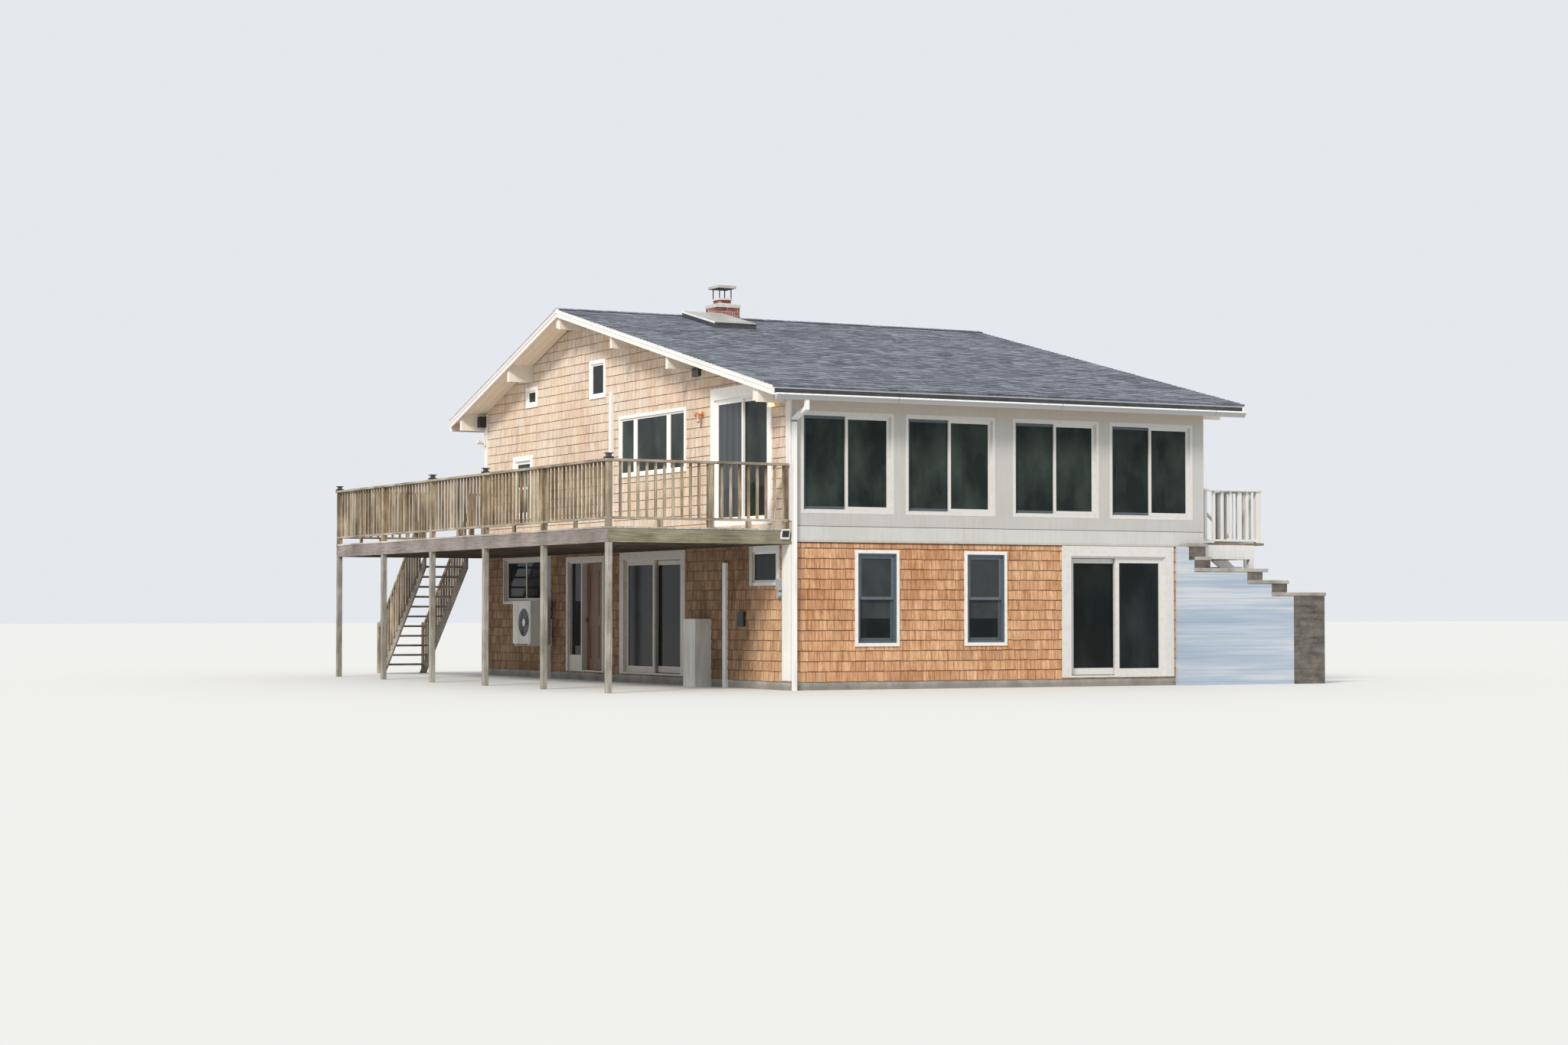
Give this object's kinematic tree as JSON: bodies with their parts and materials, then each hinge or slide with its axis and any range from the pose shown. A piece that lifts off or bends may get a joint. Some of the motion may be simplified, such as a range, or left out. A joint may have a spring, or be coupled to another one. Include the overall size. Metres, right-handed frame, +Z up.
{
  "type": "beach house",
  "caption": "Two-storey shingled beach house with a low gable roof, a raised side deck on posts, sliding patio doors, a rear stair and a side landing.",
  "frame": {"origin": "centre of the rectangular house footprint at ground level", "axes": "+Z up, +Y from the water side to the back, +X along the water side away from the deck"},
  "size_m": [13.525, 15.8113, 7.405],
  "materials": {
    "concrete": "rough cast concrete",
    "cedar": "natural cedar shingles",
    "pale_cedar": "bleached cedar shingles",
    "white_paint": "white painted boards",
    "weathered_wood": "grey weathered timber",
    "roof_shingle": "mineral surfaced shingles",
    "white_metal": "white enamel",
    "dark_metal": "dark enamel",
    "grey_frame": "grey enamel",
    "white_frame": "white frame",
    "brick": "red brick",
    "glass": "clear glass",
    "brown_door": "stained wood",
    "painted_masonry": "painted masonry",
    "copper": "aged copper"
  },
  "bodies": {
    "house": {"foundation": "concrete", "front_wall_lower": "cedar", "deck_side_wall_lower": "cedar", "door_headers": "cedar", "back_wall_lower": "cedar", "right_wall_lower": "cedar", "upper_floor": "weathered_wood", "front_wall_upper": "white_paint", "deck_side_wall_upper": "pale_cedar", "back_wall_upper": "pale_cedar", "right_wall_upper": "pale_cedar", "front_bands": "white_paint", "corner_trim": "white_paint", "roof_beams": "white_paint", "roof_planks": "white_paint", "roof_covering": "roof_shingle", "ridge_cap": "roof_shingle", "barge_boards": "white_paint", "eave_fascias": "dark_metal", "gutters": "white_metal", "downspouts": "white_metal", "skylight_frame": "dark_metal", "skylight_glass": "glass", "chimney_stack": "brick", "chimney_top": "concrete", "front_upper_windows": "white_frame", "front_lower_windows": "white_frame", "deck_side_upper_windows": "white_frame", "deck_side_lower_windows": "white_frame", "rear_windows": "white_frame", "upper_glass": "glass", "lower_glass": "glass", "front_door_frame": "white_frame", "side_door_frame": "white_frame", "deck_boards": "weathered_wood", "deck_frame": "weathered_wood", "deck_posts": "weathered_wood", "deck_railing_side": "weathered_wood", "deck_railing_ends": "weathered_wood", "deck_stair_stringers": "weathered_wood", "deck_stair_treads": "weathered_wood", "deck_stair_railings": "weathered_wood", "landing_platform": "white_paint", "landing_posts": "white_paint", "landing_railings": "white_paint", "landing_stair": "white_paint", "stepped_wall": "painted_masonry", "stepped_wall_caps": "concrete", "wall_fixtures": "copper", "line_covers": "white_metal", "outdoor_units": "white_metal", "post_caps": "dark_metal"},
    "front_door": {"front_door_slider": "white_frame", "front_slider_glass": "glass"},
    "side_door": {"side_door_slider": "white_frame", "side_slider_glass": "glass"},
    "entry_door": {"entry_door_leaf": "brown_door"}
  },
  "joints": [
    {"name": "front_door_slide", "type": "slide", "parent": "house", "child": "front_door", "axis": [1, 0, 0], "range_m": [0, 0.8585]},
    {"name": "side_door_slide", "type": "slide", "parent": "house", "child": "side_door", "axis": [0, 1, 0], "range_m": [0, 1.079]},
    {"name": "entry_door_hinge", "type": "hinge", "parent": "house", "child": "entry_door", "pos_m": [-3.767, 0.7825, 1], "axis": [0, 0, -1], "range_deg": [0, 95]}
  ]
}
